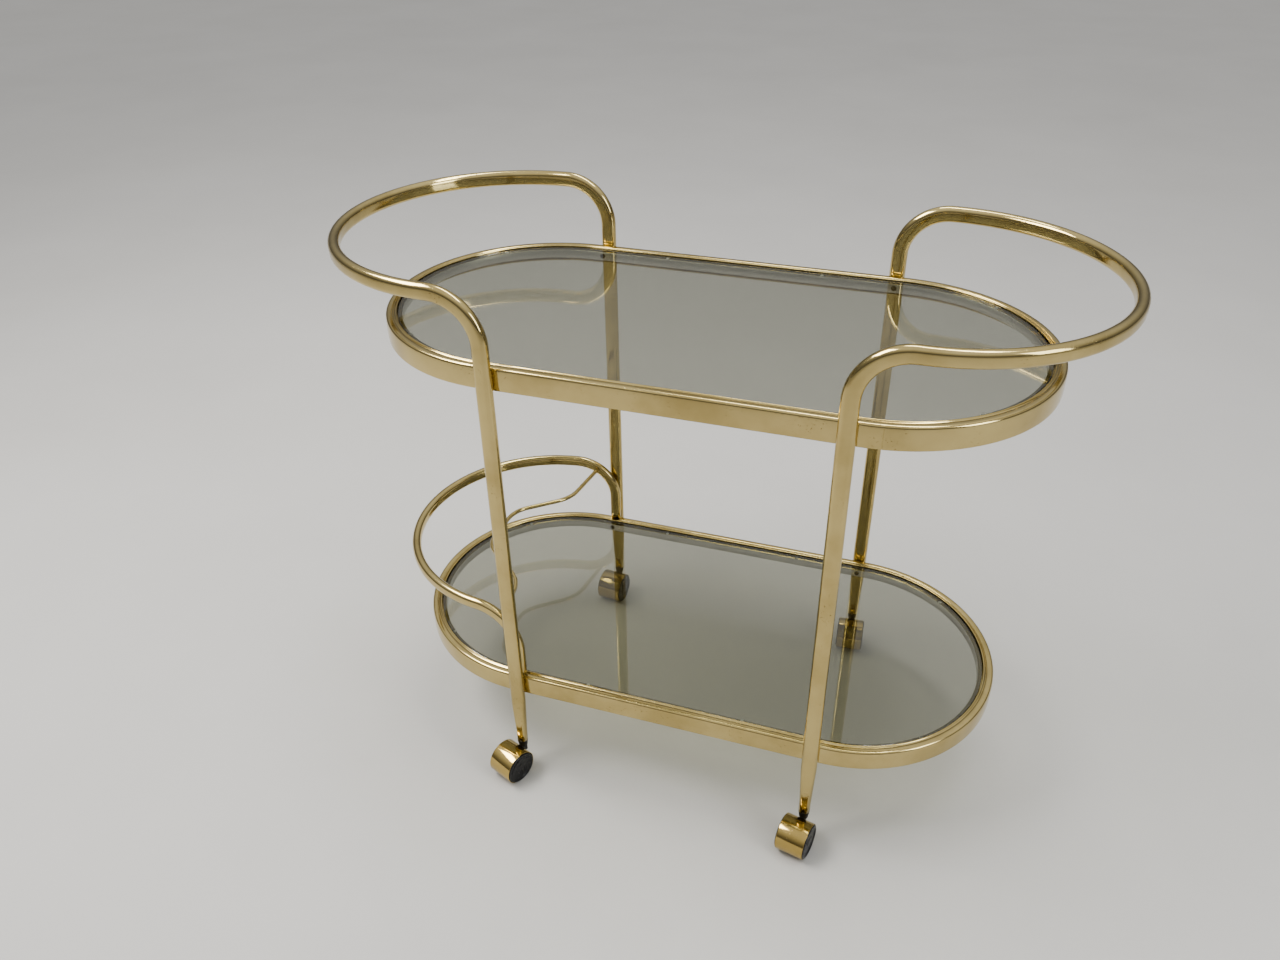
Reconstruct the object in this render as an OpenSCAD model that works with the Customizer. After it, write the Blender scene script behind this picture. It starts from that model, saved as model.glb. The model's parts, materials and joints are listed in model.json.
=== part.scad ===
// Two-tier oval bar cart: two bent-tube end frames, two racetrack rails with glass
// shelves, a bottle rail with a wire divider, and four twin-wheel hooded casters.
// Millimetres. X runs along the length, Y from front to back, Z up.
// The origin is on the floor, at the middle of the box around the whole cart.

/* [End tubes] */
// Long side of the flat-oval tube
tube_wide = 20; // [14:0.5:30]
// Short side of the flat-oval tube
tube_thick = 13.5; // [9:0.5:20]
// Wall thickness of every tube
tube_wall = 1.2; // [0.8:0.1:2]
// Distance of the leg centres from the middle, along the length
leg_x = 199; // [150:1:260]
// Height of the centre of the push handles
handle_z = 710.5; // [600:0.5:850]
// Radius of the bend from leg to handle
handle_bend_r = 58.5; // [30:0.5:90]
// Height of the open bottom end of each leg
leg_bottom_z = 48; // [40:1:70]
// Height where the legs start to taper
taper_top_z = 130; // [100:1:160]
// Height where the taper ends in a round end
taper_end_z = 62; // [50:1:90]
// Diameter of the round leg ends
leg_end_d = 14.8; // [12:0.2:18]

/* [Shelf rails] */
// Half of the straight run of each rail
straight_half = 211; // [150:1:300]
// Half of the outer width of each rail
rail_half_w = 196.2; // [150:0.1:240]
// Height of the top of the upper rail
upper_z = 625.6; // [500:0.1:750]
// Height of the top of the lower rail
lower_z = 160.8; // [100:0.1:250]
// Height of the outer face of a rail
rail_h = 28.4; // [20:0.1:40]
// Thickness of the rail's metal
rail_t = 1.5; // [1:0.1:3]
// Width of the rail's rounded top, from the glass to the outer face
rail_top_w = 14; // [10:0.5:20]
// Depth of the glass seat below the top of the rail
seat_depth = 7.7; // [5:0.1:12]
// Depth of the inner wall's lower edge below the top of the rail
inner_wall_depth = 19.5; // [15:0.5:28]
// Width of the seat under the glass
seat_w = 6.2; // [4:0.1:10]

/* [Glass] */
// Thickness of the glass shelves
glass_t = 5; // [4:0.5:8]
// Gap between the glass and the rail around it
glass_gap = 0.8; // [0.3:0.1:2]

/* [Bottle rail] */
// Long side of the bottle rail's tube
bottle_wide = 16.5; // [10:0.5:20]
// Short side of the bottle rail's tube
bottle_thick = 12; // [6:0.5:14]
// Height of the centre of the bottle rail
bottle_z = 264; // [220:1:340]
// Distance of the posts from the middle, along the length
bottle_post_x = 197; // [150:1:240]
// Distance of the posts from the middle, across the cart
bottle_post_y = 190; // [150:1:220]
// Bend radius between post and rail
bottle_bend_r = 59; // [30:1:80]
// Inward turn of each bend
bottle_turn = 6.5; // [0:0.5:15]

/* [Bottle divider] */
// Diameter of the divider's wire
wire_d = 6; // [3:0.1:7]
// Height of the wire's centre
wire_z = 256; // [230:1:300]
// Distance of the wire's nose from the middle of the cart
wire_nose_x = 302; // [250:1:380]
// Straight part of the nose behind and in front of its middle
wire_nose = [14, 31]; // [0:1:40]
// Bend radius at the nose
wire_nose_r = 45; // [15:1:80]
// Turn at each side of the nose
wire_nose_turn = 50; // [20:1:80]
// Length of the slanted flank at the back and at the front
wire_flank = [46.9, 54.9]; // [20:0.1:90]
// Bend radius between flank and tail
wire_tail_r = 55; // [10:1:60]
// Turn between flank and tail
wire_tail_turn = 43; // [10:1:70]
// Distance of the wire's ends from the middle, across the cart
wire_end_y = 184.4; // [150:0.1:200]

/* [Casters] */
// Diameter of the wheels
wheel_d = 45; // [40:1:75]
// Distance between the outer faces of a pair of wheels
wheels_w = 40; // [30:1:60]
// Outer diameter of the hood
hood_d = 47.8; // [36:0.1:70]
// Length of the hood along the axle
hood_w = 37.4; // [20:0.2:50]
// Distance of the axle from the swivel axis
trail = 24; // [15:1:35]
// Diameter of the neck's bottom
neck_bottom_d = 12; // [10:0.5:18]
// Diameter of the neck's top
neck_top_d = 14.2; // [10:0.1:18]
// Diameter of the stem
stem_d = 8; // [6:0.5:11]
// Swivel angles of the casters: front left, front right, back left, back right
caster_yaw = [-22, -12, -5, 4];

/* [Hidden] */
$fn = 96;

BRASS = [0.80, 0.70, 0.42];
SMOKED = [0.42, 0.43, 0.38, 0.45];
BLACK = [0.06, 0.06, 0.07];
STEEL = [0.66, 0.66, 0.67];
CLEAR = [0.85, 0.86, 0.84];

// The flat inner faces of the legs lie against the rails.
leg_y = rail_half_w + tube_thick/2 + 0.05;
rail_inner_w = rail_half_w - rail_top_w;
seat_inner_w = rail_inner_w - seat_w;
glass_half_w = rail_inner_w - glass_gap;
wheel_r = wheel_d/2;
seam = 0.02;

// The casters trail to the front, so the cart's box reaches further there than at
// the back, where the necks reach furthest. The whole cart is moved so that the middle
// of its box is on Y = 0.
front_reach = leg_y + (trail + hood_d/2)*cos(caster_yaw[0]) + hood_w/2*abs(sin(caster_yaw[0]));
back_reach = leg_y + neck_top_d/2;
middle_y = (front_reach - back_reach)/2;

// Screws that hold the rails to the legs
screw_d = 3.9;
screw_hole_d = 4.3;
screw_head_d = 7;
screw_head_h = 2.2;
screw_drop = 13;
nut_t = 4;
nut_w = 6.4;
nut_h = 10;

// Posts of the bottle rail
plug_h = 14;
access_hole_d = 10;

// Butt joint of the upper rail's rolled strip, just past its straight run
joint_angle = 6.7;
joint_depth = 0.35;
joint_w = 0.5;

// Glass pads
pad_d = 4.6;
pad_t = seat_depth - 2 - glass_t;

// Caster details
hood_t = 1;
wheel_edge_r = 1.4;
hood_opening = 70;
web_t = 6;
web_clear_z = 5;
web_r = hood_d/2 - hood_t - 0.1;
axle_d = 6;
running_gap = 0.4;
neck_bottom_z = 37.5;
neck_top_z = 46.2;
flange_t = 1.5;
socket_d = 10.3;
socket_h = 36;
stem_bottom_z = 39;
stem_top_z = 80;

// ---- Sections ----

// Flat-oval outline, its long side along X
module flat_oval(wide, thick) {
    square([wide - thick, thick], center = true);
    for (side = [-1, 1])
        translate([side*(wide - thick)/2, 0])
            circle(d = thick);
}

// Wall of a flat-oval tube
module tube_section(wide, thick) {
    difference() {
        flat_oval(wide, thick);
        flat_oval(wide - 2*tube_wall, thick - 2*tube_wall);
    }
}

// Cross-section of a shelf rail: X is the distance from the rail's centreline
// outwards, Y is the height from the rail's top.
module rail_section() {
    shoulder_r = 3.6;
    lip_r = 1.3;
    // rounded inner lip beside the glass
    translate([rail_inner_w + lip_r, -lip_r])
        circle(r = lip_r, $fn = 32);
    translate([rail_inner_w, -seat_depth])
        square([rail_t, seat_depth - lip_r]);
    // flat top, a little lower between lip and shoulder
    translate([rail_inner_w + lip_r, -rail_t - 0.7])
        square([3.2, rail_t]);
    translate([rail_inner_w + 3.4, -rail_t])
        square([rail_top_w - 3.4 - shoulder_r, rail_t]);
    // rounded outer shoulder
    translate([rail_half_w - shoulder_r, -shoulder_r])
        intersection() {
            difference() {
                circle(r = shoulder_r, $fn = 48);
                circle(r = shoulder_r - rail_t, $fn = 48);
            }
            square(shoulder_r);
        }
    // outer face with its turned-in lower edge
    translate([rail_half_w - rail_t, -rail_h])
        square([rail_t, rail_h - shoulder_r]);
    translate([rail_half_w - 6, -rail_h])
        square([6, rail_t]);
    // seat for the glass, inner wall, and the web that closes the box
    translate([seat_inner_w, -seat_depth - rail_t])
        square([seat_w + rail_t, rail_t]);
    translate([seat_inner_w, -inner_wall_depth])
        square([rail_t, inner_wall_depth - seat_depth]);
    translate([seat_inner_w, -inner_wall_depth])
        square([rail_half_w - seat_inner_w - 0.5, rail_t]);
}

// Racetrack outline of a given half width
module racetrack(half_w) {
    square([2*straight_half, 2*half_w], center = true);
    for (side = [-1, 1])
        translate([side*straight_half, 0])
            circle(r = half_w, $fn = 180);
}

// ---- End tubes ----

// One straight leg from its round end up to the handle's bend
module leg() {
    difference() {
        intersection() {
            translate([0, 0, leg_bottom_z])
                linear_extrude(handle_z - handle_bend_r - leg_bottom_z)
                    flat_oval(tube_wide, tube_thick);
            union() {
                translate([0, 0, leg_bottom_z])
                    cylinder(d = leg_end_d, h = taper_end_z - leg_bottom_z);
                translate([0, 0, taper_end_z])
                    cylinder(d1 = leg_end_d, d2 = tube_wide + 0.2, h = taper_top_z - taper_end_z);
                translate([0, 0, taper_top_z])
                    cylinder(d = tube_wide + 10, h = handle_z);
            }
        }
        translate([0, 0, leg_bottom_z - 1])
            cylinder(d = socket_d + 0.1, h = taper_top_z - leg_bottom_z + 2);
        translate([0, 0, taper_top_z])
            linear_extrude(handle_z)
                flat_oval(tube_wide - 2*tube_wall, tube_thick - 2*tube_wall);
    }
}

// Bend from a leg's top to the level handle, towards +X
module handle_bend() {
    translate([handle_bend_r, 0, handle_z - handle_bend_r])
        rotate([90, 0, 0])
            rotate_extrude(angle = 90, start = 90, $fn = 120)
                translate([handle_bend_r, 0])
                    tube_section(tube_wide, tube_thick);
}

// One end frame: leg, bend, half-round handle, bend and leg in one tube
module end_tube() {
    difference() {
        union() {
            for (side = [-1, 1])
                translate([leg_x, side*leg_y, 0]) {
                    leg();
                    handle_bend();
                }
            translate([leg_x + handle_bend_r, 0, handle_z])
                rotate_extrude(angle = 180, start = -90, $fn = 180)
                    translate([leg_y, 0])
                        rotate(90)
                            tube_section(tube_wide, tube_thick);
        }
        for (side = [-1, 1], rail_z = [upper_z, lower_z])
            translate([leg_x, side*(leg_y - tube_thick/2 - 1), rail_z - screw_drop])
                rotate([-90*side, 0, 0])
                    cylinder(d = screw_hole_d, h = 4, $fn = 32);
    }
}

module left_end_tube() {
    color(BRASS)
        translate([0, middle_y, 0])
            mirror([1, 0, 0])
                end_tube();
}

module right_end_tube() {
    color(BRASS)
        translate([0, middle_y, 0])
            end_tube();
}

// Places children at the four places where a rail meets a leg. The child's X axis
// points outwards, and its Y axis points up.
module at_rail_screws(rail_z) {
    for (end = [-1, 1], side = [-1, 1])
        translate([end*leg_x, middle_y, rail_z - screw_drop])
            rotate([0, 0, side*90])
                children();
}

// Blocks inside the legs that the rail screws thread into
module leg_nut_plates() {
    color(STEEL)
        for (rail_z = [upper_z, lower_z])
            at_rail_screws(rail_z)
                translate([leg_y - tube_thick/2 + tube_wall, 0, 0])
                    difference() {
                        translate([0, -nut_w/2, -nut_h/2])
                            cube([nut_t, nut_w, nut_h]);
                        translate([-1, 0, 0])
                            rotate([0, 90, 0])
                                cylinder(d = screw_d + 0.1, h = nut_t + 2, $fn = 32);
                    }
}

// ---- Shelf rails ----

// One rail ring with its top at Z = 0
module rail_ring() {
    for (end = [-1, 1])
        translate([end*straight_half, 0, 0])
            rotate_extrude(angle = 180, start = -90*end, $fn = 180)
                rail_section();
    for (side = [0, 180])
        rotate(side)
            translate([straight_half, 0, 0])
                rotate([90, 0, -90])
                    linear_extrude(2*straight_half)
                        mirror([1, 0])
                            rail_section();
}

// Holes for the four screws that hold a rail
module rail_screw_holes() {
    for (end = [-1, 1], side = [-1, 1])
        translate([end*leg_x, side*(seat_inner_w - 2), -screw_drop])
            rotate([-90*side, 0, 0])
                cylinder(d = screw_hole_d, h = 30, $fn = 32);
}

module upper_rail() {
    color(BRASS)
        translate([0, middle_y, upper_z])
            difference() {
                rail_ring();
                rail_screw_holes();
                translate([straight_half, 0, -rail_h])
                    rotate(joint_angle - 90)
                        translate([rail_half_w - joint_depth, -joint_w/2, 0])
                            cube([1, joint_w, rail_h]);
            }
}

// The lower rail also has holes for the bottle rail's screws, with access from below.
module lower_rail() {
    color(BRASS)
        translate([0, middle_y, lower_z])
            difference() {
                rail_ring();
                rail_screw_holes();
                for (side = [-1, 1])
                    translate([-bottle_post_x, side*bottle_post_y, 0]) {
                        translate([0, 0, -5])
                            cylinder(d = screw_hole_d, h = 10, $fn = 32);
                        translate([0, 0, -inner_wall_depth - 1])
                            cylinder(d = access_hole_d, h = 4, $fn = 32);
                    }
            }
}

// Pan-head screws from inside the rail, through both walls, into the nut plates
module rail_screws(rail_z) {
    reach = leg_y - tube_thick/2 + tube_wall + nut_t;
    color(STEEL)
        at_rail_screws(rail_z)
            rotate([0, 90, 0]) {
                translate([0, 0, seat_inner_w - screw_head_h])
                    cylinder(d1 = screw_head_d - 2, d2 = screw_head_d, h = screw_head_h, $fn = 32);
                translate([0, 0, seat_inner_w - 0.5])
                    cylinder(d = screw_d, h = reach - seat_inner_w + 0.5, $fn = 32);
            }
}

module upper_rail_screws() {
    rail_screws(upper_z);
}

module lower_rail_screws() {
    rail_screws(lower_z);
}

// ---- Glass ----

module glass_shelf(rail_z) {
    color(SMOKED)
        translate([0, middle_y, rail_z - 2 - glass_t])
            linear_extrude(glass_t)
                racetrack(glass_half_w);
}

module upper_glass() {
    glass_shelf(upper_z);
}

module lower_glass() {
    glass_shelf(lower_z);
}

// Eight clear bumpers between the seat and the glass
module glass_pads(rail_z) {
    pad_w = seat_inner_w + pad_d/2 + 0.3;
    color(CLEAR)
        translate([0, middle_y, rail_z - seat_depth])
            for (end = [-1, 1], side = [-1, 1]) {
                translate([end*straight_half/2, side*pad_w, 0])
                    cylinder(d = pad_d, h = pad_t, $fn = 32);
                translate([end*(straight_half + pad_w*cos(50)), side*pad_w*sin(50), 0])
                    cylinder(d = pad_d, h = pad_t, $fn = 32);
            }
}

module upper_glass_pads() {
    glass_pads(upper_z);
}

module lower_glass_pads() {
    glass_pads(lower_z);
}

// ---- Bottle rail ----

// Centre and radius of the half-round part, tangent to both bends
bottle_loop_r = (bottle_post_y - bottle_bend_r*sin(bottle_turn))/cos(bottle_turn);
bottle_loop_x = bottle_post_x + bottle_bend_r*cos(bottle_turn) - bottle_loop_r*sin(bottle_turn);

// Sleeve, a hair larger than the tube, that joins a bend and the loop into one solid
module bottle_seam() {
    rotate([0, 90, 0])
        linear_extrude(1, center = true)
            difference() {
                flat_oval(bottle_wide + 2*seam, bottle_thick + 2*seam);
                flat_oval(bottle_wide - 2*tube_wall - 2*seam, bottle_thick - 2*tube_wall - 2*seam);
            }
}

// Post and bend on one side, from the rail's top to the level loop
module bottle_arm() {
    translate([0, 0, lower_z])
        linear_extrude(bottle_z - bottle_bend_r - lower_z)
            tube_section(bottle_wide, bottle_thick);
    translate([-bottle_bend_r, 0, bottle_z - bottle_bend_r])
        rotate([90, 0, 0])
            rotate_extrude(angle = 90, $fn = 120)
                translate([bottle_bend_r, 0])
                    tube_section(bottle_wide, bottle_thick);
    translate([-bottle_bend_r, 0, bottle_z])
        bottle_seam();
}

// Bottle rail: post, bend, half-round loop, bend and post in one tube
module bottle_rail() {
    color(BRASS)
        translate([0, middle_y, 0])
            difference() {
                union() {
                    for (side = [-1, 1])
                        translate([-bottle_post_x, side*bottle_post_y, 0])
                            rotate([0, 0, side*bottle_turn])
                                bottle_arm();
                    translate([-bottle_loop_x, 0, bottle_z])
                        rotate_extrude(angle = 180 - 2*bottle_turn, start = 90 + bottle_turn, $fn = 180)
                            translate([bottle_loop_r, 0])
                                rotate(90)
                                    tube_section(bottle_wide, bottle_thick);
                }
                divider_wire(wire_d + 0.1);
            }
}

// Steel plugs in the posts' open ends, threaded for a screw from below
module bottle_post_plugs() {
    color(STEEL)
        for (side = [-1, 1])
            translate([-bottle_post_x, middle_y + side*bottle_post_y, lower_z + 0.1])
                rotate([0, 0, side*bottle_turn])
                    difference() {
                        linear_extrude(plug_h)
                            flat_oval(bottle_wide - 2*tube_wall - 0.1, bottle_thick - 2*tube_wall - 0.1);
                        translate([0, 0, -1])
                            cylinder(d = screw_d + 0.1, h = plug_h + 2, $fn = 32);
                    }
}

module bottle_rail_screws() {
    color(STEEL)
        for (side = [-1, 1])
            translate([-bottle_post_x, middle_y + side*bottle_post_y, lower_z - rail_t]) {
                translate([0, 0, -screw_head_h])
                    cylinder(d1 = screw_head_d - 2, d2 = screw_head_d, h = screw_head_h, $fn = 32);
                translate([0, 0, -0.5])
                    cylinder(d = screw_d, h = 12, $fn = 32);
            }
}

// ---- Bottle divider ----

// Straight piece of wire along +Y
module wire_straight(d, length) {
    rotate([-90, 0, 0])
        cylinder(d = d, h = length, $fn = 32);
}

// Collar, a hair larger than the wire, that joins two pieces into one solid
module wire_seam(d) {
    rotate([-90, 0, 0])
        cylinder(d = d + 2*seam, h = 0.6, center = true, $fn = 32);
}

// Wire bend that starts along +Y and turns towards +X
module wire_bend(d, r, turn) {
    translate([r, 0, 0])
        rotate_extrude(angle = turn, start = 180 - turn, $fn = 96)
            translate([r, 0])
                circle(d = d, $fn = 32);
    wire_seam(d);
    past_bend(r, turn)
        wire_seam(d);
}

// Moves children to the end of such a bend
module past_bend(r, turn) {
    translate([r*(1 - cos(turn)), r*sin(turn), 0])
        rotate(-turn)
            children();
}

// Half of the divider, from the middle of its nose to the bottle rail
module divider_half(d, nose, flank) {
    tail_heading = wire_nose_turn - wire_tail_turn;
    tail_start = nose + wire_nose_r*sin(wire_nose_turn) + flank*cos(wire_nose_turn)
        + wire_tail_r*(sin(wire_nose_turn) - sin(tail_heading));
    wire_straight(d, nose);
    translate([0, nose, 0]) {
        wire_bend(d, wire_nose_r, wire_nose_turn);
        past_bend(wire_nose_r, wire_nose_turn) {
            wire_straight(d, flank);
            translate([0, flank, 0]) {
                mirror([1, 0, 0])
                    wire_bend(d, wire_tail_r, wire_tail_turn);
                past_bend(-wire_tail_r, -wire_tail_turn)
                    wire_straight(d, (wire_end_y - tail_start)/cos(tail_heading));
            }
        }
    }
}

// The whole wire: straight tails, slanted flanks and a nose that points to the end.
// Its front half is bent a little wider than its back half.
module divider_wire(d) {
    translate([-wire_nose_x, 0, wire_z]) {
        divider_half(d, wire_nose[0], wire_flank[0]);
        mirror([0, 1, 0])
            divider_half(d, wire_nose[1], wire_flank[1]);
    }
}

module bottle_divider() {
    color(BRASS)
        translate([0, middle_y, 0])
            divider_wire(wire_d);
}

// ---- Casters ----

// Places children on a caster's swivel axis, turned to its resting angle
module at_caster(end, side, yaw) {
    translate([end*leg_x, middle_y + side*leg_y, 0])
        rotate(yaw)
            children();
}

// Places children on the axle's centre, with Z along the axle
module at_axle() {
    translate([0, -trail, wheel_r])
        rotate([0, 90, 0])
            children();
}

// Plastic socket in the leg's round end, with a flange under the end
module socket() {
    color(BLACK)
        difference() {
            union() {
                translate([0, 0, leg_bottom_z])
                    cylinder(d = socket_d, h = socket_h);
                translate([0, 0, leg_bottom_z - flange_t])
                    cylinder(d = leg_end_d - 0.4, h = flange_t);
            }
            translate([0, 0, leg_bottom_z - flange_t - 1])
                cylinder(d = stem_d + 0.1, h = socket_h + 4);
        }
}

// Steel stem with a shallow grip groove near its top
module stem() {
    color(STEEL)
        difference() {
            union() {
                translate([0, 0, stem_bottom_z])
                    cylinder(d = stem_d, h = stem_top_z - stem_bottom_z - 1);
                translate([0, 0, stem_top_z - 1])
                    cylinder(d1 = stem_d, d2 = stem_d - 2, h = 1);
            }
            translate([0, 0, stem_top_z - 8])
                difference() {
                    cylinder(d = stem_d + 2, h = 2);
                    translate([0, 0, -1])
                        cylinder(d = stem_d - 1.4, h = 4);
                }
        }
}

// Black body between the wheels: neck, tail and round web on the axle. The web is
// flat underneath, so that it stays off the floor.
module fork() {
    color(BLACK)
        difference() {
            union() {
                translate([0, 0, neck_bottom_z])
                    cylinder(d1 = neck_bottom_d, d2 = neck_top_d, h = neck_top_z - neck_bottom_z);
                translate([-web_t/2, -12, 26])
                    cube([web_t, 16.5, neck_bottom_z - 26]);
                at_axle()
                    cylinder(r = web_r, h = web_t, center = true);
            }
            translate([-web_t, -trail - web_r, -web_r])
                cube([2*web_t, 2*web_r, web_r + web_clear_z]);
            translate([0, 0, stem_bottom_z])
                cylinder(d = stem_d, h = neck_top_z);
            at_axle()
                cylinder(d = axle_d, h = web_t + 2, center = true);
        }
}

// Brass drum cover, open at the bottom and notched for the neck and tail
module hood() {
    notch_w = neck_top_d + 0.8;
    color(BRASS)
        difference() {
            at_axle()
                rotate(hood_opening/2)
                    translate([0, 0, -hood_w/2])
                        rotate_extrude(angle = 360 - hood_opening)
                            translate([hood_d/2 - hood_t, 0])
                                square([hood_t, hood_w]);
            translate([-notch_w/2, -notch_w/2 - 0.4, neck_bottom_z - 0.7])
                cube([notch_w, 12, 14]);
            translate([-web_t/2 - 0.4, -10, 24])
                cube([web_t + 0.8, 14, neck_bottom_z - 22]);
        }
}

module axle() {
    color(STEEL)
        at_axle()
            cylinder(d = axle_d, h = wheels_w - 4, center = true);
}

// One wheel of a pair, under the hood, with rounded edges. Side is 1 for the +X wheel
// and -1 for the other.
module wheel(side) {
    inner = web_t/2 + running_gap;
    outer = wheels_w/2;
    color(BLACK)
        at_axle()
            mirror([0, 0, side < 0 ? 1 : 0])
                difference() {
                    rotate_extrude() {
                        translate([0, inner])
                            square([wheel_r - wheel_edge_r, outer - inner]);
                        translate([0, inner + wheel_edge_r])
                            square([wheel_r, outer - inner - 2*wheel_edge_r]);
                        for (edge = [inner + wheel_edge_r, outer - wheel_edge_r])
                            translate([wheel_r - wheel_edge_r, edge])
                                circle(r = wheel_edge_r, $fn = 32);
                    }
                    translate([0, 0, inner - 1])
                        cylinder(d = axle_d + 0.1, h = outer - 1.8 - inner + 1);
                }
}

// Corners: end is -1 at the left and 1 at the right, side is -1 at the front.
module fl() { at_caster(-1, -1, caster_yaw[0]) children(); }
module fr() { at_caster(1, -1, caster_yaw[1]) children(); }
module bl() { at_caster(-1, 1, caster_yaw[2]) children(); }
module br() { at_caster(1, 1, caster_yaw[3]) children(); }

left_end_tube();
right_end_tube();
upper_rail();
lower_rail();
upper_glass();
lower_glass();
upper_glass_pads();
lower_glass_pads();
upper_rail_screws();
lower_rail_screws();
leg_nut_plates();
bottle_rail();
bottle_divider();
bottle_post_plugs();
bottle_rail_screws();
fl() socket();  // fl_socket
fl() stem();  // fl_stem
fl() fork();  // fl_fork
fl() hood();  // fl_hood
fl() axle();  // fl_axle
fl() wheel(-1);  // fl_wheel_left
fl() wheel(1);  // fl_wheel_right
fr() socket();  // fr_socket
fr() stem();  // fr_stem
fr() fork();  // fr_fork
fr() hood();  // fr_hood
fr() axle();  // fr_axle
fr() wheel(-1);  // fr_wheel_left
fr() wheel(1);  // fr_wheel_right
bl() socket();  // bl_socket
bl() stem();  // bl_stem
bl() fork();  // bl_fork
bl() hood();  // bl_hood
bl() axle();  // bl_axle
bl() wheel(-1);  // bl_wheel_left
bl() wheel(1);  // bl_wheel_right
br() socket();  // br_socket
br() stem();  // br_stem
br() fork();  // br_fork
br() hood();  // br_hood
br() axle();  // br_axle
br() wheel(-1);  // br_wheel_left
br() wheel(1);  // br_wheel_right
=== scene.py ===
import json
import math

import bmesh
import bpy
from mathutils import Matrix, Vector


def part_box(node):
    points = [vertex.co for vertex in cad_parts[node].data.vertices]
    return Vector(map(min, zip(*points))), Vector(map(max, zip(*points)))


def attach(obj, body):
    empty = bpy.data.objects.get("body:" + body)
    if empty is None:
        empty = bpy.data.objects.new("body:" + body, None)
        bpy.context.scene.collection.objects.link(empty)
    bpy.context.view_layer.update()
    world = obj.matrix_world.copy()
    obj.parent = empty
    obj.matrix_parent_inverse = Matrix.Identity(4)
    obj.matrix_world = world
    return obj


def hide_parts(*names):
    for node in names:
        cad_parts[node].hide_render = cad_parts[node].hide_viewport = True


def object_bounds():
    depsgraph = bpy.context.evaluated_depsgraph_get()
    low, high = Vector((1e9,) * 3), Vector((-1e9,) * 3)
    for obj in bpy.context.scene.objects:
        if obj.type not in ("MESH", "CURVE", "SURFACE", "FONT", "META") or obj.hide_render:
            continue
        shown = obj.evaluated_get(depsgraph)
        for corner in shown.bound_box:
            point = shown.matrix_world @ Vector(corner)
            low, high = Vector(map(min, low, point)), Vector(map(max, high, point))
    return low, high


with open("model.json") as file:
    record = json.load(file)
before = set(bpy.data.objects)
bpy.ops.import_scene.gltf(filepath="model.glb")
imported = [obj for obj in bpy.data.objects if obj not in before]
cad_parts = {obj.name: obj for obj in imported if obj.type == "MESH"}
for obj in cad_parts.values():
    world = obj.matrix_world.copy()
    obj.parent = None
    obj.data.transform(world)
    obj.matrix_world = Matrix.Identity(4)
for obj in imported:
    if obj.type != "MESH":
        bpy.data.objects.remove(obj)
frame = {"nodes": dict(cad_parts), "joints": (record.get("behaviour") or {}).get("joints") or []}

MM = 0.001
CAD_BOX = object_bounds()
CORNERS = ("fl", "fr", "bl", "br")

# Sections that the boxes of the CAD nodes don't give
TUBE_THICK = 13.5 * MM
TUBE_WIDE = 20 * MM
HANDLE_BEND = 58.5 * MM
LEG_X = 199 * MM
LEG_END_R = 7.4 * MM
TAPER_TOP = 130 * MM
TAPER_END = 62 * MM
STRAIGHT_HALF = 211 * MM
BOTTLE_WIDE = 16.5 * MM
BOTTLE_THICK = 12 * MM
BOTTLE_BEND = 59 * MM
BOTTLE_POST = Vector((-197 * MM, 190 * MM))
BOTTLE_TURN = math.radians(6.5)
WIRE_NOSE_R = 45 * MM
WIRE_NOSE_TURN = 50
WIRE_TAIL_R = 55 * MM
WIRE_TAIL_TURN = 43
WIRE_END_Y = 184.4 * MM
WIRE_FRONT = (31 * MM, 54.9 * MM)
WIRE_BACK = (14 * MM, 46.9 * MM)
RAIL_TOP = 14 * MM
SEAT_INNER = 20.2 * MM
SCREW_HEAD_R = 3.5 * MM
SCREW_HEAD_H = 2.2 * MM
AXLE_HOLE_R = 3.1 * MM
HOOD_OPENING = 70
JOINT_ANGLE = 6.7
JOINT_HALF = 0.25 * MM
JOINT_DEPTH = 0.35 * MM

rail_low, rail_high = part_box("upper_rail")
MIDDLE_Y = (rail_low.y + rail_high.y) / 2
RAIL_HALF = (rail_high.y - rail_low.y) / 2
X, Y, Z = Vector((1, 0, 0)), Vector((0, 1, 0)), Vector((0, 0, 1))


# ---- Meshes ----


def make_object(name, mesh, material, body, replaced=()):
    """Links a mesh, gives it its material, and ties it to its CAD body."""
    obj = bpy.data.objects.new(name, mesh)
    bpy.context.scene.collection.objects.link(obj)
    mesh.materials.append(material)
    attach(obj, body)
    if replaced:
        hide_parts(*replaced)
    return obj


def skin(name, rings, closed_path=False, closed_ring=True, cap=True):
    """Mesh through equal rings of points, with a UV map in metres: u along, v around."""
    bm = bmesh.new()
    uv = bm.loops.layers.uv.new("metres")
    verts = [[bm.verts.new(p) for p in ring] for ring in rings]
    along = [0.0]
    for a, b in zip(rings, rings[1:] + rings[:1]):
        along.append(along[-1] + (sum(b, Vector()) - sum(a, Vector())).length / len(a))
    around = [0.0]
    middle = rings[len(rings) // 2]
    for a, b in zip(middle, middle[1:] + middle[:1]):
        around.append(around[-1] + (b - a).length)
    count = len(middle)
    for i in range(len(rings) if closed_path else len(rings) - 1):
        for j in range(count if closed_ring else count - 1):
            i2, j2 = (i + 1) % len(rings), (j + 1) % count
            face = bm.faces.new((verts[i][j], verts[i][j2], verts[i2][j2], verts[i2][j]))
            face.smooth = True
            corners = ((i, j), (i, j + 1), (i + 1, j + 1), (i + 1, j))
            for loop, (s, t) in zip(face.loops, corners):
                loop[uv].uv = (along[s], around[t])
    if cap and not closed_path:
        for ring in (verts[0], verts[-1]):
            bm.faces.new(ring)
    bmesh.ops.recalc_face_normals(bm, faces=bm.faces)
    mesh = bpy.data.meshes.new(name)
    bm.to_mesh(mesh)
    bm.free()
    return mesh


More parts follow.
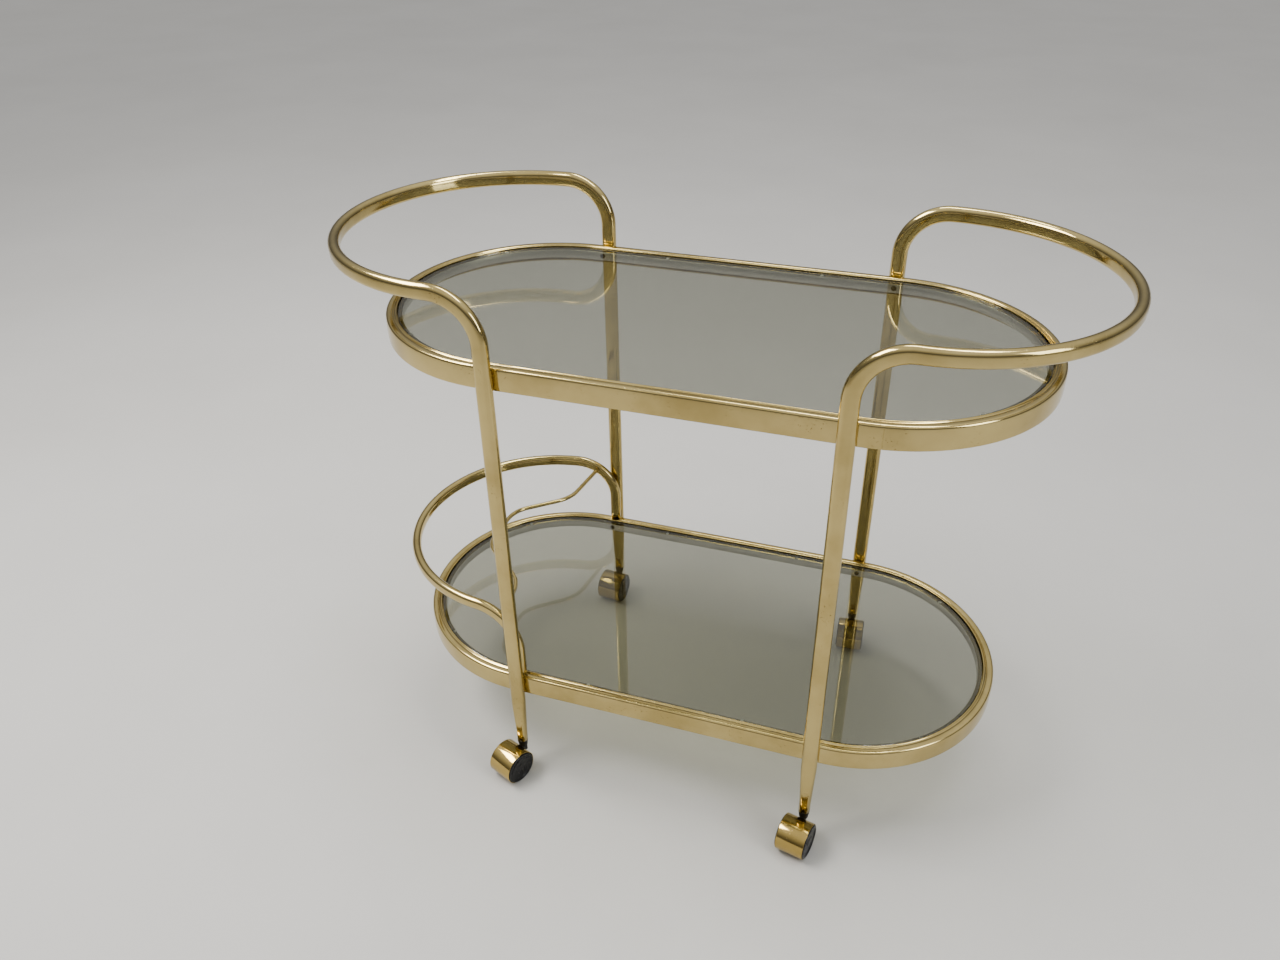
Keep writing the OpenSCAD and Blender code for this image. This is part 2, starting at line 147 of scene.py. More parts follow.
def arc(centre, radius, start, stop, steps):
    """Points on an arc in two dimensions. Angles are in degrees."""
    angles = (math.radians(start + (stop - start) * i / steps) for i in range(steps + 1))
    return [(centre[0] + radius * math.cos(a), centre[1] + radius * math.sin(a)) for a in angles]


def flat_oval(wide, thick, steps=16):
    """Points round a flat-oval section. Its long side runs along the first axis."""
    half = (wide - thick) / 2
    return arc((half, 0), thick / 2, -90, 90, steps) + arc((-half, 0), thick / 2, 90, 270, steps)


def place(section, at, long_axis, thin_axis):
    """The section's points in space, with its two axes along the given directions."""
    return [at + long_axis * a + thin_axis * b for a, b in section]


def lathe(name, profile, start=0.0, stop=360.0, steps=96, closed=False):
    """Mesh turned about the X axis. The profile is (x, radius) pairs."""
    whole = stop - start >= 360
    rings = []
    for i in range(steps if whole else steps + 1):
        a = math.radians(start + (stop - start) * i / steps)
        direction = Vector((0, math.sin(a), -math.cos(a)))
        rings.append([X * x + direction * r for x, r in profile])
    return skin(name, rings, closed_path=whole, closed_ring=closed, cap=not whole)


# ---- End tubes ----


def leg_section(z):
    """The leg's outline at a height: round at the end, flat-oval above the taper."""
    if z >= TAPER_TOP:
        return flat_oval(TUBE_WIDE, TUBE_THICK)
    share = max(0.0, (z - TAPER_END) / (TAPER_TOP - TAPER_END))
    limit = LEG_END_R + share * (TUBE_WIDE / 2 - LEG_END_R)
    points = []
    for a, b in flat_oval(TUBE_WIDE, TUBE_THICK):
        length = math.hypot(a, b)
        scale = min(1.0, limit / length)
        points.append((a * scale, b * scale))
    return points


def end_tube_rings(side):
    """Rings of an end frame. Side is 1 for the right end and -1 for the left."""
    low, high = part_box("right_end_tube")
    handle_z = high.z - TUBE_WIDE / 2
    leg_y = (high.y - low.y - TUBE_THICK) / 2
    bottom, top = low.z, handle_z - HANDLE_BEND
    half = []
    inner = [(a * 0.8, b * 0.8) for a, b in leg_section(bottom)]
    soft = [(a * 0.97, b * 0.97) for a, b in leg_section(bottom)]
    foot = Vector((LEG_X, -leg_y, 0))
    half.append(place(inner, foot + Z * (bottom + 12 * MM), X, Y))
    half.append(place(inner, foot + Z * bottom, X, Y))
    half.append(place(soft, foot + Z * bottom, X, Y))
    steps = 24
    heights = [bottom + 0.3 * MM, TAPER_END]
    heights += [TAPER_END + (TAPER_TOP - TAPER_END) * i / steps for i in range(1, steps + 1)]
    heights += [TAPER_TOP + (top - TAPER_TOP) * i / 8 for i in range(1, 8)]
    for z in heights:
        half.append(place(leg_section(z), foot + Z * z, X, Y))
    oval = flat_oval(TUBE_WIDE, TUBE_THICK)
    for i in range(33):
        a = math.pi / 2 * i / 32
        centre = foot + Vector((HANDLE_BEND, 0, top))
        inward = Vector((math.cos(a), 0, -math.sin(a)))
        half.append(place(oval, centre - inward * HANDLE_BEND, inward, Y))
    loop = []
    centre = Vector((LEG_X + HANDLE_BEND, 0, handle_z))
    for i in range(1, 120):
        a = math.pi * i / 120
        outward = Vector((math.sin(a), -math.cos(a), 0))
        loop.append(place(oval, centre + outward * leg_y, -Z, -outward))
    rings = half + loop + mirrored_y(half)
    return [[Vector((p.x * side, p.y + MIDDLE_Y, p.z)) for p in ring] for ring in rings]


def mirrored_y(half):
    """The rings of the other half, from the middle outwards."""
    return [[Vector((p.x, -p.y, p.z)) for p in ring] for ring in reversed(half)]


# ---- Rails and glass ----


def racetrack(profile, steps=96, straight_steps=12):
    """Rings of a profile of (distance from the middle line, height) round a racetrack."""
    rings = []
    for side in (1, -1):
        for i in range(steps):
            a = math.radians(-90 + 180 * i / steps)
            out = Vector((math.cos(a), math.sin(a), 0)) * side
            rings.append([X * side * STRAIGHT_HALF + out * w + Z * z for w, z in profile])
        for i in range(straight_steps):
            x = side * STRAIGHT_HALF * (1 - 2 * i / straight_steps)
            rings.append([X * x + Y * side * w + Z * z for w, z in profile])
    return [[p + Y * MIDDLE_Y for p in ring] for ring in rings]


def with_joint(rings, profile, steps=96):
    """The rings with a fine upright groove in the outer face, just past the front's straight run."""
    joint = math.radians(JOINT_ANGLE - 90)
    extra = []
    for shift, depth in ((-1.5, 0), (-1, JOINT_DEPTH), (1, JOINT_DEPTH), (1.5, 0)):
        a = joint + shift * JOINT_HALF / RAIL_HALF
        out = Vector((math.cos(a), math.sin(a), 0))
        centre = X * STRAIGHT_HALF + Y * MIDDLE_Y
        extra.append([centre + out * (w - depth * (w > RAIL_HALF - 2 * MM)) + Z * z for w, z in profile])
    before = int(JOINT_ANGLE * steps / 180) + 1
    return rings[:before] + extra + rings[before:]


def rail_profile(top):
    """Outline of a rail's visible skin: seat, lip, groove, top band, shoulder and faces."""
    outer = RAIL_HALF
    lip, shoulder, foot = 1.3 * MM, 3.6 * MM, 1.2 * MM
    inner, seat_inner = outer - RAIL_TOP, outer - SEAT_INNER
    seat, web, height = 7.7 * MM, 19.5 * MM, rail_high.z - rail_low.z
    bulge = 0.35 * MM
    face_top, face_bottom = -shoulder, -(height - foot)
    points = [(seat_inner + 0.4 * MM, -seat), (inner, -seat)]
    points += arc((inner + lip, -lip), lip, 180, 35, 10)
    points += arc((inner + 4.1 * MM, -0.9 * MM), 0.45 * MM, 200, 340, 5)[1:]
    points += [(inner + 5.2 * MM, -0.22 * MM), (inner + 7.4 * MM, 0.0)]
    points += arc((outer - shoulder - bulge, -shoulder), shoulder, 88, 6, 12)
    for i in range(1, 12):
        t = i / 12
        bow = 1 - (2 * t - 1) ** 2
        z = face_top + (face_bottom - face_top) * t
        points.append((outer - bulge + bulge * bow, z))
    points += arc((outer - bulge - foot, -(height - foot)), foot, -2, -88, 6)
    points += [(outer - 6 * MM, -height), (outer - 6 * MM, -(height - 1.4 * MM))]
    points += [(outer - 1.7 * MM, -(height - 1.5 * MM)), (outer - 1.7 * MM, -web)]
    points += arc((seat_inner + 0.8 * MM, -(web - 0.8 * MM)), 0.8 * MM, 270, 180, 5)
    points += [(seat_inner, -seat - 0.4 * MM)]
    return [(w, z + top) for w, z in points]


def glass_profile(low, high, half):
    """Outline of a pane's rim, with a small polished bevel, from top to bottom."""
    bevel = 0.7 * MM
    return [(half - 12 * MM, high), (half - bevel, high), (half - 0.2 * MM, high - 0.2 * MM),
            (half, high - bevel), (half, low + bevel), (half - 0.2 * MM, low + 0.2 * MM),
            (half - bevel, low), (half - 12 * MM, low)]


def glass_mesh(name, node):
    """A pane: the rim's rings, with one flat face over the top and one underneath."""
    low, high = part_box(node)
    rings = racetrack(glass_profile(low.z, high.z, (high.y - low.y) / 2))
    mesh = skin(name, rings, closed_path=True, closed_ring=False)
    bm = bmesh.new()
    bm.from_mesh(mesh)
    open_edges = [e for e in bm.edges if e.is_boundary]
    bmesh.ops.contextual_create(bm, geom=[e for e in open_edges if e.verts[0].co.z > low.z + MM])
    bmesh.ops.contextual_create(bm, geom=[e for e in open_edges if e.verts[0].co.z < low.z + MM])
    bmesh.ops.recalc_face_normals(bm, faces=bm.faces)
    bm.to_mesh(mesh)
    bm.free()
    return mesh


# ---- Bottle rail and wire ----


def bottle_rail_rings():
    """Rings of the bottle rail: post, bend, half-round loop, bend and post."""
    low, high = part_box("bottle_rail")
    rail_z = high.z - BOTTLE_WIDE / 2
    oval = flat_oval(BOTTLE_WIDE, BOTTLE_THICK)
    post = Vector((BOTTLE_POST.x, -BOTTLE_POST.y, 0))
    outwards = Vector((-math.cos(BOTTLE_TURN), math.sin(BOTTLE_TURN), 0))
    across = Z.cross(outwards)
    bend_z = rail_z - BOTTLE_BEND
    half = [place(oval, post + Z * (low.z + (bend_z - low.z) * i / 3), -outwards, across)
            for i in range(4)]
    for i in range(1, 29):
        a = math.pi / 2 * i / 28
        inward = outwards * math.cos(a) - Z * math.sin(a)
        centre = post + outwards * BOTTLE_BEND + Z * bend_z
        half.append(place(oval, centre - inward * BOTTLE_BEND, -inward, across))
    radius = (BOTTLE_POST.y - BOTTLE_BEND * math.sin(BOTTLE_TURN)) / math.cos(BOTTLE_TURN)
    bend_end = post + outwards * BOTTLE_BEND
    centre = Vector((bend_end.x + radius * math.sin(BOTTLE_TURN), 0, rail_z))
    loop = []
    for i in range(1, 100):
        a = BOTTLE_TURN + (math.pi - 2 * BOTTLE_TURN) * i / 100
        out = Vector((-math.sin(a), -math.cos(a), 0))
        loop.append(place(oval, centre + out * radius, Z, out))
    return [[p + Y * MIDDLE_Y for p in ring] for ring in half + loop + mirrored_y(half)]


def wire_path(nose, flank):
    """Stations of half of the divider as (point, heading), from the nose's middle to its end."""
    low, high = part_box("bottle_divider")
    at, heading = Vector((low.x + (high.z - low.z) / 2, 0)), 90.0
    stations = []

    def straight(length, steps):
        nonlocal at
        forward = Vector((math.cos(math.radians(heading)), math.sin(math.radians(heading))))
        for _ in range(steps):
            stations.append((at.copy(), heading))
            at += forward * length / steps

    def bend(bend_radius, turn, steps=20):
        nonlocal at, heading
        for _ in range(steps):
            stations.append((at.copy(), heading))
            middle = math.radians(heading - turn / steps / 2)
            chord = 2 * bend_radius * math.sin(math.radians(abs(turn) / steps / 2))
            at += Vector((math.cos(middle), math.sin(middle))) * chord
            heading -= turn / steps

    straight(nose, 4)
    bend(WIRE_NOSE_R, WIRE_NOSE_TURN)
    straight(flank, 4)
    bend(WIRE_TAIL_R, -WIRE_TAIL_TURN)
    straight((WIRE_END_Y - at.y) / math.sin(math.radians(heading)), 6)
    stations.append((at.copy(), heading))
    return stations


def wire_half(nose, flank):
    """Rings of half of the divider wire, on its back side."""
    low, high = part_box("bottle_divider")
    circle = arc((0, 0), (high.z - low.z) / 2, 0, 337.5, 15)
    rings = []
    for at, heading in wire_path(nose, flank):
        a = math.radians(heading)
        normal = Vector((-math.sin(a), math.cos(a), 0))
        rings.append(place(circle, Vector((at.x, at.y, (low.z + high.z) / 2)), normal, Z))
    return rings


def wire_rings():
    """Rings of the whole divider wire. Its front half is bent a little wider."""
    front = mirrored_y(wire_half(*WIRE_FRONT)[1:])
    back = wire_half(*WIRE_BACK)
    return [[p + Y * MIDDLE_Y for p in ring] for ring in front + back]


# ---- Casters ----


def caster_matrix(corner):
    """Frame of a caster: origin on the axle's middle, X along the axle, Z up."""
    joints = {j["name"]: j for j in frame["joints"]}
    spin = joints[f"{corner}_right_spin"]
    along = Vector(spin["axis"])
    back = Z.cross(along)
    turn = Matrix((along, back, Z)).transposed().to_4x4()
    return Matrix.Translation(Vector(spin["pos_m"])) @ turn


def hood_profile():
    """Section of the drum hood: a thin wall with rolled edges."""
    half, outer, wall, roll = 18.7 * MM, 23.9 * MM, 1.0 * MM, 0.5 * MM
    points = arc((half - roll, outer - roll), roll, 90, -90, 6)
    points += arc((-half + roll, outer - wall + roll), roll, 270, 90, 6)
    return points


def wheel_profile():
    """Section of a wheel from its inner hub to its dished outer face."""
    rim, edge, inner, outer = 22.5 * MM, 1.4 * MM, 3.4 * MM, 20 * MM
    points = [(inner, AXLE_HOLE_R)]
    points += arc((inner + edge, rim - edge), edge, 180, 90, 6)
    points += arc((outer - edge, rim - edge), edge, 90, 0, 6)
    points += [(outer, 19.6 * MM), (outer - 0.35 * MM, 19.1 * MM), (outer - 0.9 * MM, 18.7 * MM)]
    points += [(outer - 1.0 * MM, 10 * MM), (outer - 0.9 * MM, 7.4 * MM), (outer - 0.4 * MM, 6.9 * MM)]
    points += [(outer - 0.1 * MM, 5.8 * MM), (outer, 4 * MM), (outer, 2 * MM), (outer, 0.02 * MM)]
    return points


def mirrored_x(profile):
    """The same section on the other side of the wheel pair."""
    return [(-x, r) for x, r in profile]


# ---- Screw heads ----


def screw_head(radius, height):
    """A domed head with a cross recess, its top towards +X and its seat at X = 0."""
    profile = [(0, 0.02 * MM), (0, radius * 0.99), (height * 0.25, radius)]
    profile += [(height * (0.25 + 0.75 * math.sin(a)), radius * math.cos(a) ** 0.6)
                for a in (math.radians(15 * i) for i in range(1, 6))]
    profile.append((height, 0.02 * MM))
    mesh = lathe("screw_head", profile, steps=40, closed=True)
    head = bpy.data.objects.new("screw_head", mesh)
    cutter_mesh = bpy.data.meshes.new("cross")
    bm = bmesh.new()
    for turn in (0, 90):
        size = Matrix.Diagonal((height * 1.2, radius * 1.1, radius * 0.24, 1))
        shift = Matrix.Translation(X * height * 1.1)
        arm = Matrix.Rotation(math.radians(turn), 4, "X")
        bmesh.ops.create_cube(bm, size=1, matrix=shift @ arm @ size)
    bm.to_mesh(cutter_mesh)
    bm.free()
    cutter = bpy.data.objects.new("cross", cutter_mesh)
    for obj in (head, cutter):
        bpy.context.scene.collection.objects.link(obj)
    cut = head.modifiers.new("recess", "BOOLEAN")
    cut.object = cutter
    cut.use_self = True
    result = bpy.data.meshes.new_from_object(head.evaluated_get(bpy.context.evaluated_depsgraph_get()))
    for obj in (head, cutter):
        bpy.data.objects.remove(obj)
    return result


def copies(name, mesh, matrices):
    """One mesh that holds a copy of the given mesh at each matrix."""
    bm = bmesh.new()
    for matrix in matrices:
        part = mesh.copy()
        part.transform(matrix)
        bm.from_mesh(part)
        bpy.data.meshes.remove(part)
    result = bpy.data.meshes.new(name)
    bm.to_mesh(result)
    bm.free()
    return result


# ---- Materials ----


def start_material(name):
    """A new material with its node tree and its Principled node."""
    material = bpy.data.materials.new(name)
    material.use_nodes = True
    tree = material.node_tree
    return material, tree, tree.nodes["Principled BSDF"]


def add(tree, kind, inputs=None, **settings):
    """A node with its settings and inputs. An input is a value or another node's socket."""
    made = tree.nodes.new(kind)
    for key, value in settings.items():
        setattr(made, key, value)
    for key, value in (inputs or {}).items():
        if isinstance(value, bpy.types.NodeSocket):
            tree.links.new(value, made.inputs[key])
        else:
            made.inputs[key].default_value = value
    return made


def noise(tree, vector, scale, detail=2.0, roughness=0.5):
    """Value of a noise texture."""
    made = add(tree, "ShaderNodeTexNoise",
               {"Vector": vector, "Scale": scale, "Detail": detail, "Roughness": roughness})
    return made.outputs["Fac"]


def remap(tree, value, low, high, to_low=0.0, to_high=1.0):
    """The value's range between low and high, smoothly spread over the new range."""
    made = add(tree, "ShaderNodeMapRange",
               {"Value": value, "From Min": low, "From Max": high, "To Min": to_low, "To Max": to_high},
               interpolation_type="SMOOTHSTEP")
    return made.outputs["Result"]


def maths(tree, operation, a, b):
    """One Math node on two values."""
    return add(tree, "ShaderNodeMath", {0: a, 1: b}, operation=operation).outputs[0]


def blend_colours(tree, factor, a, b):
    """Colour between a and b."""
    made = add(tree, "ShaderNodeMix", {"Factor": factor}, data_type="RGBA")
    for index, value in ((6, a), (7, b)):
        if isinstance(value, bpy.types.NodeSocket):
            tree.links.new(value, made.inputs[index])
        else:
            made.inputs[index].default_value = value
    return made.outputs[2]


def bump(tree, height, distance, strength=1.0, normal=None):
    """Bump from a height value."""
    inputs = {"Height": height, "Distance": distance, "Strength": strength}
    if normal:
        inputs["Normal"] = normal
    return add(tree, "ShaderNodeBump", inputs).outputs["Normal"]


def object_coords(tree):
    return add(tree, "ShaderNodeTexCoord").outputs["Object"]


def stretched(tree, vector, scale):
    """The vector scaled by a different amount along each axis."""
    return add(tree, "ShaderNodeMapping", {"Vector": vector, "Scale": scale}).outputs["Vector"]


def brass_material(name, lines, base, deep, spot_amount=0.8, bare=None):
    """Lacquered brass plate: drawn lines, cloudy lacquer and small tarnish spots.
    Lines is the scale of the fine lines along and across the piece. Bare is the distance
    round the section past which the metal was left grey, if any was."""
    material, tree, shader = start_material(name)
    coords = object_coords(tree)
    metres = add(tree, "ShaderNodeUVMap", uv_map="metres").outputs["UV"]
    cloud = noise(tree, coords, 11.0, 4.0, 0.6)
    drawn = noise(tree, stretched(tree, metres, lines), 1.0, 3.0, 0.65)
    patches = remap(tree, noise(tree, coords, 23.0, 3.0), 0.46, 0.66)
    specks = remap(tree, noise(tree, coords, 520.0, 2.0, 0.7), 0.62, 0.71)
    spots = maths(tree, "MULTIPLY", specks, patches)
    scratches = noise(tree, stretched(tree, coords, (900.0, 60.0, 140.0)), 1.0, 1.0)
    scratches = remap(tree, scratches, 0.70, 0.76)
    colour = blend_colours(tree, remap(tree, cloud, 0.35, 0.75, 0.0, 0.7), base, deep)
    tarnish = maths(tree, "MULTIPLY", spots, spot_amount)
    colour = blend_colours(tree, tarnish, colour, (0.16, 0.10, 0.04, 1))
    rough = remap(tree, cloud, 0.3, 0.7, 0.06, 0.12)
    if bare:
        around = add(tree, "ShaderNodeSeparateXYZ", {"Vector": metres}).outputs["Y"]
        plain = remap(tree, around, bare, bare + 0.3 * MM)
        colour = blend_colours(tree, plain, colour, (0.62, 0.61, 0.58, 1))
        rough = maths(tree, "ADD", rough, maths(tree, "MULTIPLY", plain, 0.25))
    tree.links.new(colour, shader.inputs["Base Color"])
    rough = maths(tree, "ADD", rough, remap(tree, drawn, 0.35, 0.7, 0.0, 0.05))
    rough = maths(tree, "ADD", rough, maths(tree, "MULTIPLY", spots, 0.35))
    rough = maths(tree, "ADD", rough, maths(tree, "MULTIPLY", scratches, 0.12))
    tree.links.new(rough, shader.inputs["Roughness"])
    fine = bump(tree, drawn, 0.00002, 0.6)
    wavy = bump(tree, noise(tree, coords, 30.0, 1.0), 0.00014, 0.35, fine)
    tree.links.new(bump(tree, spots, 0.00006, 0.7, wavy), shader.inputs["Normal"])
    shader.inputs["Metallic"].default_value = 1.0
    return material


def glass_material():
    """Smoked glass with a faint film of dust and wiping marks. Lamps shine through it."""
    material, tree, shader = start_material("smoked_glass")
    tint = (0.43, 0.435, 0.37, 1)
    coords = object_coords(tree)
    wiped = noise(tree, stretched(tree, coords, (5.0, 17.0, 5.0)), 1.0, 5.0, 0.7)
    wiped = remap(tree, wiped, 0.45, 0.75)
    dust = remap(tree, noise(tree, coords, 900.0, 2.0, 0.8), 0.66, 0.74)
    wiped = maths(tree, "MULTIPLY", wiped, 0.035)
    rough = maths(tree, "ADD", wiped, maths(tree, "MULTIPLY", dust, 0.06))
    tree.links.new(rough, shader.inputs["Roughness"])
    dusty = blend_colours(tree, maths(tree, "MULTIPLY", dust, 0.25), tint, (0.62, 0.61, 0.57, 1))
    tree.links.new(dusty, shader.inputs["Base Color"])
    shader.inputs["Transmission Weight"].default_value = 1.0
    shader.inputs["IOR"].default_value = 1.65
    clear = add(tree, "ShaderNodeBsdfTransparent", {"Color": (0.66, 0.66, 0.61, 1)})
    path = add(tree, "ShaderNodeLightPath")
    mix = add(tree, "ShaderNodeMixShader", {
        0: path.outputs["Is Shadow Ray"], 1: shader.outputs["BSDF"], 2: clear.outputs["BSDF"]})
    tree.links.new(mix.outputs["Shader"], tree.nodes["Material Output"].inputs["Surface"])
    return material


def plastic_material(name, dark, light, gloss, worn):
    """Moulded plastic with a fine grain, scuffs and dust. Gloss and worn are roughness."""
    material, tree, shader = start_material(name)
    coords = object_coords(tree)
    scuffs = noise(tree, stretched(tree, coords, (700.0, 160.0, 160.0)), 1.0, 4.0, 0.7)
    scuffs = remap(tree, scuffs, 0.5, 0.7)
    dust = remap(tree, noise(tree, coords, 140.0, 4.0, 0.7), 0.45, 0.75)
    colour = blend_colours(tree, maths(tree, "MULTIPLY", dust, 0.5), dark, light)
    tree.links.new(colour, shader.inputs["Base Color"])
    tree.links.new(remap(tree, scuffs, 0.0, 1.0, gloss, worn), shader.inputs["Roughness"])
    grain = bump(tree, noise(tree, coords, 2600.0, 2.0), 0.00003, 0.5)
    tree.links.new(bump(tree, scuffs, 0.00004, 0.4, grain), shader.inputs["Normal"])
    return material


def steel_material(name, clean, tarnished):
    """Steel with fine turning lines and patches of tarnish."""
    material, tree, shader = start_material(name)
    coords = object_coords(tree)
    tarnish = remap(tree, noise(tree, coords, 180.0, 4.0, 0.7), 0.4, 0.7)
    colour = blend_colours(tree, tarnish, clean, tarnished)
    tree.links.new(colour, shader.inputs["Base Color"])
    tree.links.new(remap(tree, tarnish, 0.0, 1.0, 0.2, 0.42), shader.inputs["Roughness"])
    lines = noise(tree, stretched(tree, coords, (200.0, 200.0, 3000.0)), 1.0, 2.0)
    tree.links.new(bump(tree, lines, 0.00003, 0.5), shader.inputs["Normal"])
    shader.inputs["Metallic"].default_value = 1.0
    return material


def pad_material():
    """Clear soft plastic, slightly milky."""
    material, tree, shader = start_material("clear_pad")
    coords = object_coords(tree)
    milky = noise(tree, coords, 600.0, 3.0)
    colour = blend_colours(tree, milky, (0.82, 0.83, 0.80, 1), (0.66, 0.67, 0.62, 1))
    tree.links.new(colour, shader.inputs["Base Color"])
    tree.links.new(remap(tree, milky, 0.3, 0.7, 0.25, 0.5), shader.inputs["Roughness"])
    shader.inputs["Transmission Weight"].default_value = 0.4
    return material


def floor_material():
    """Pale matt floor with a faint cloudiness."""
    material, tree, shader = start_material("pale_floor")
    coords = object_coords(tree)
    cloud = noise(tree, coords, 1.7, 5.0, 0.6)
    colour = blend_colours(tree, cloud, (0.50, 0.49, 0.47, 1), (0.58, 0.57, 0.55, 1))
    tree.links.new(colour, shader.inputs["Base Color"])
    tree.links.new(bump(tree, noise(tree, coords, 160.0, 4.0), 0.0004, 0.3), shader.inputs["Normal"])
    shader.inputs["Roughness"].default_value = 0.75
    return material


BRASS_PALE, BRASS_DEEP = (0.60, 0.49, 0.24, 1), (0.40, 0.31, 0.13, 1)
tube_brass = brass_material("tube_brass", (4.0, 1500.0, 1.0), BRASS_PALE, BRASS_DEEP)
# The rail's inner wall is the last stretch of its outline, and it was left grey
section = [Vector(p) for p in rail_profile(0)]
wall_start = sum((b - a).length for a, b in zip(section, section[1:-6]))
rail_brass = brass_material("rail_brass", (2.0, 2200.0, 1.0), BRASS_PALE, BRASS_DEEP, 0.9, wall_start)
hood_brass = brass_material("hood_brass", (12.0, 2600.0, 1.0),
                            (0.60, 0.46, 0.19, 1), (0.40, 0.29, 0.10, 1))
smoked_glass = glass_material()
black_plastic = plastic_material("black_plastic", (0.012, 0.012, 0.013, 1),
                                 (0.05, 0.048, 0.045, 1), 0.36, 0.6)
black_wheel = plastic_material("black_wheel", (0.010, 0.010, 0.011, 1),
                               (0.045, 0.043, 0.04, 1), 0.2, 0.5)
plated_steel = steel_material("plated_steel", (0.62, 0.60, 0.56, 1), (0.42, 0.35, 0.22, 1))
# The screw heads' near-black colour is painted shade: it stands in for the shade inside their cross
# recesses
recess_shade_steel = steel_material("recess_shade_steel", (0.10, 0.09, 0.07, 1), (0.04, 0.035, 0.025, 1))
clear_pad = pad_material()


# ---- The frame's pieces ----

for end, side in (("left", -1), ("right", 1)):
    tube = skin(f"{end}_handle_tube", end_tube_rings(side), cap=False)
    make_object(f"{end}_handle_tube", tube, tube_brass, "frame", [f"{end}_end_tube"])

for tier in ("upper", "lower"):
    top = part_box(f"{tier}_rail")[1].z
    rings = racetrack(rail_profile(top))
    if tier == "upper":
        rings = with_joint(rings, rail_profile(top))
    rail = skin(f"{tier}_rail_skin", rings, closed_path=True)
    rail.set_sharp_from_angle(angle=math.radians(50))
    make_object(f"{tier}_rail_skin", rail, rail_brass, "frame", [f"{tier}_rail"])
    pane = glass_mesh(f"{tier}_pane", f"{tier}_glass")
    pane.set_sharp_from_angle(angle=math.radians(20))
    make_object(f"{tier}_pane", pane, smoked_glass, "frame", [f"{tier}_glass"])

make_object("bottle_rail_tube", skin("bottle_rail_tube", bottle_rail_rings()), tube_brass,
            "frame", ["bottle_rail"])
make_object("divider_wire", skin("divider_wire", wire_rings()), tube_brass,
            "frame", ["bottle_divider"])

for tier in ("upper", "lower"):
    low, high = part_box(f"{tier}_rail_screws")
    seat_y = RAIL_HALF - SEAT_INNER
    head = screw_head(SCREW_HEAD_R, SCREW_HEAD_H)
    spots = []
    for x in (low.x + SCREW_HEAD_R, high.x - SCREW_HEAD_R):
        for side in (-1, 1):
            at = Vector((x, MIDDLE_Y + side * seat_y, (low.z + high.z) / 2))
            turn = Matrix.Rotation(math.radians(-90 * side), 4, "Z")
            twist = Matrix.Rotation(math.radians(37 * x / MM), 4, "X")
            spots.append(Matrix.Translation(at) @ turn @ twist)
    make_object(f"{tier}_screw_heads", copies(f"{tier}_screw_heads", head, spots), recess_shade_steel,
                "frame", [f"{tier}_rail_screws"])


# ---- The casters' pieces ----

for corner in CORNERS:
    to_axle = caster_matrix(corner)
    hood = lathe(f"{corner}_drum", hood_profile(), HOOD_OPENING / 2, 360 - HOOD_OPENING / 2,
                 120, closed=True)
    hood.transform(to_axle)
    hood.set_sharp_from_angle(angle=math.radians(60))
    make_object(f"{corner}_drum", hood, hood_brass, f"{corner}_caster",
                [f"{corner}_hood"])
    for side in ("left", "right"):
        profile = wheel_profile() if side == "right" else mirrored_x(wheel_profile())
        wheel = lathe(f"{corner}_{side}_wheel", profile)
        wheel.transform(to_axle)
        wheel.set_sharp_from_angle(angle=math.radians(55))
        make_object(f"{corner}_{side}_wheel", wheel, black_wheel, f"{corner}_{side}",
                    [f"{corner}_wheel_{side}"])

plain_nodes = {"upper_glass_pads": clear_pad, "lower_glass_pads": clear_pad,
               "leg_nut_plates": plated_steel, "bottle_post_plugs": plated_steel,
               "bottle_rail_screws": plated_steel}
for corner in CORNERS:
    plain_nodes[f"{corner}_socket"] = black_plastic
    plain_nodes[f"{corner}_fork"] = black_plastic
    plain_nodes[f"{corner}_stem"] = plated_steel
    plain_nodes[f"{corner}_axle"] = plated_steel
for name, material in plain_nodes.items():
    slots = frame["nodes"][name].material_slots
    for slot in slots:
        slot.material = material


# ---- Floor, lights and camera ----


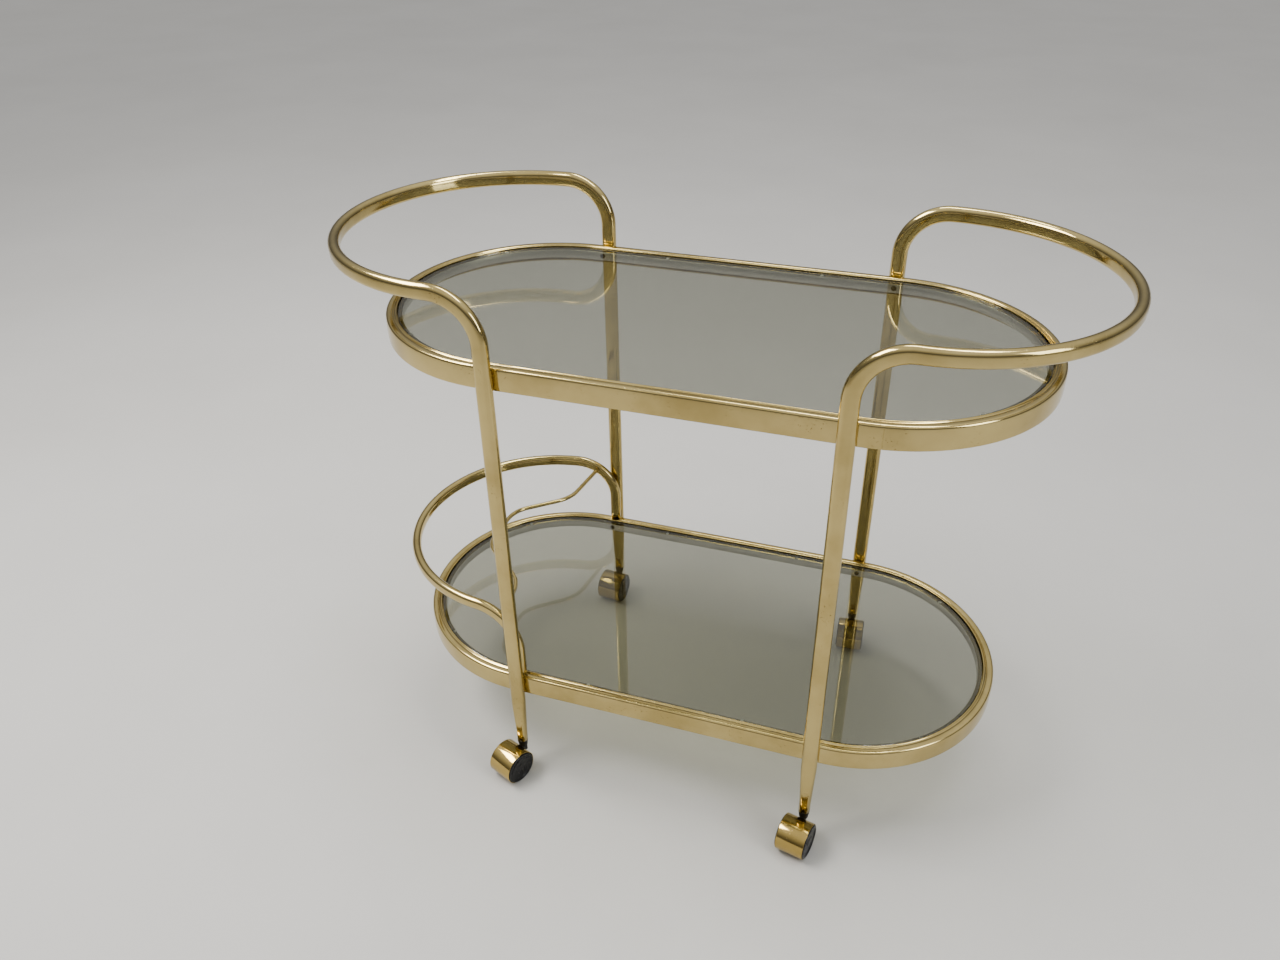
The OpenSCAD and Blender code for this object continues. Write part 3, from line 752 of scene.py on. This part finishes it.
def area_light(name, at, size, energy, colour=(1, 1, 1)):
    """A soft rectangular light aimed at the middle of the cart."""
    lamp = bpy.data.lights.new(name, "AREA")
    lamp.shape = "RECTANGLE"
    lamp.size, lamp.size_y = size
    lamp.energy = energy
    lamp.color = colour
    obj = bpy.data.objects.new(name, lamp)
    bpy.context.scene.collection.objects.link(obj)
    obj.location = at
    target = Vector((0, MIDDLE_Y, 0.4))
    obj.rotation_euler = (target - Vector(at)).to_track_quat("-Z", "Y").to_euler()


floor_mesh = bpy.data.meshes.new("floor")
bm = bmesh.new()
bmesh.ops.create_grid(bm, x_segments=8, y_segments=8, size=14)
bm.to_mesh(floor_mesh)
bm.free()
floor = bpy.data.objects.new("floor", floor_mesh)
floor_mesh.materials.append(floor_material())
bpy.context.scene.collection.objects.link(floor)
floor.location.z = CAD_BOX[0].z

area_light("key", (-1.5, -0.5, 2.4), (1.5, 1.0), 52, (1.0, 0.98, 0.95))
area_light("fill", (2.4, -0.9, 1.6), (0.9, 1.6), 20, (0.95, 0.97, 1.0))
area_light("top", (0.3, 0.5, 3.2), (2.4, 0.5), 30)

world = bpy.data.worlds.new("studio")
world.use_nodes = True
generated = add(world.node_tree, "ShaderNodeTexCoord").outputs["Generated"]
upwards = add(world.node_tree, "ShaderNodeSeparateXYZ", {"Vector": generated}).outputs["Z"]
share = remap(world.node_tree, upwards, 0.05, 0.9)
sky = blend_colours(world.node_tree, share, (0.20, 0.20, 0.20, 1), (1.0, 1.0, 1.0, 1))
background = world.node_tree.nodes["Background"]
world.node_tree.links.new(sky, background.inputs["Color"])
background.inputs["Strength"].default_value = 0.8
bpy.context.scene.world = world

HEADING, PITCH, ROLL = math.radians(19.09), math.radians(33.39), math.radians(-0.95)
camera_data = bpy.data.cameras.new("camera")
camera_data.sensor_width = 36
camera_data.lens = 28.74
camera = bpy.data.objects.new("camera", camera_data)
bpy.context.scene.collection.objects.link(camera)
camera.matrix_world = (
    Matrix.Translation((0.2889, MIDDLE_Y - 1.0917, 1.1373))
    @ Matrix.Rotation(HEADING, 4, "Z")
    @ Matrix.Rotation(math.pi / 2 - PITCH, 4, "X")
    @ Matrix.Rotation(ROLL, 4, "Z")
)
bpy.context.scene.camera = camera
bpy.context.scene.view_settings.look = "AgX - Medium High Contrast"
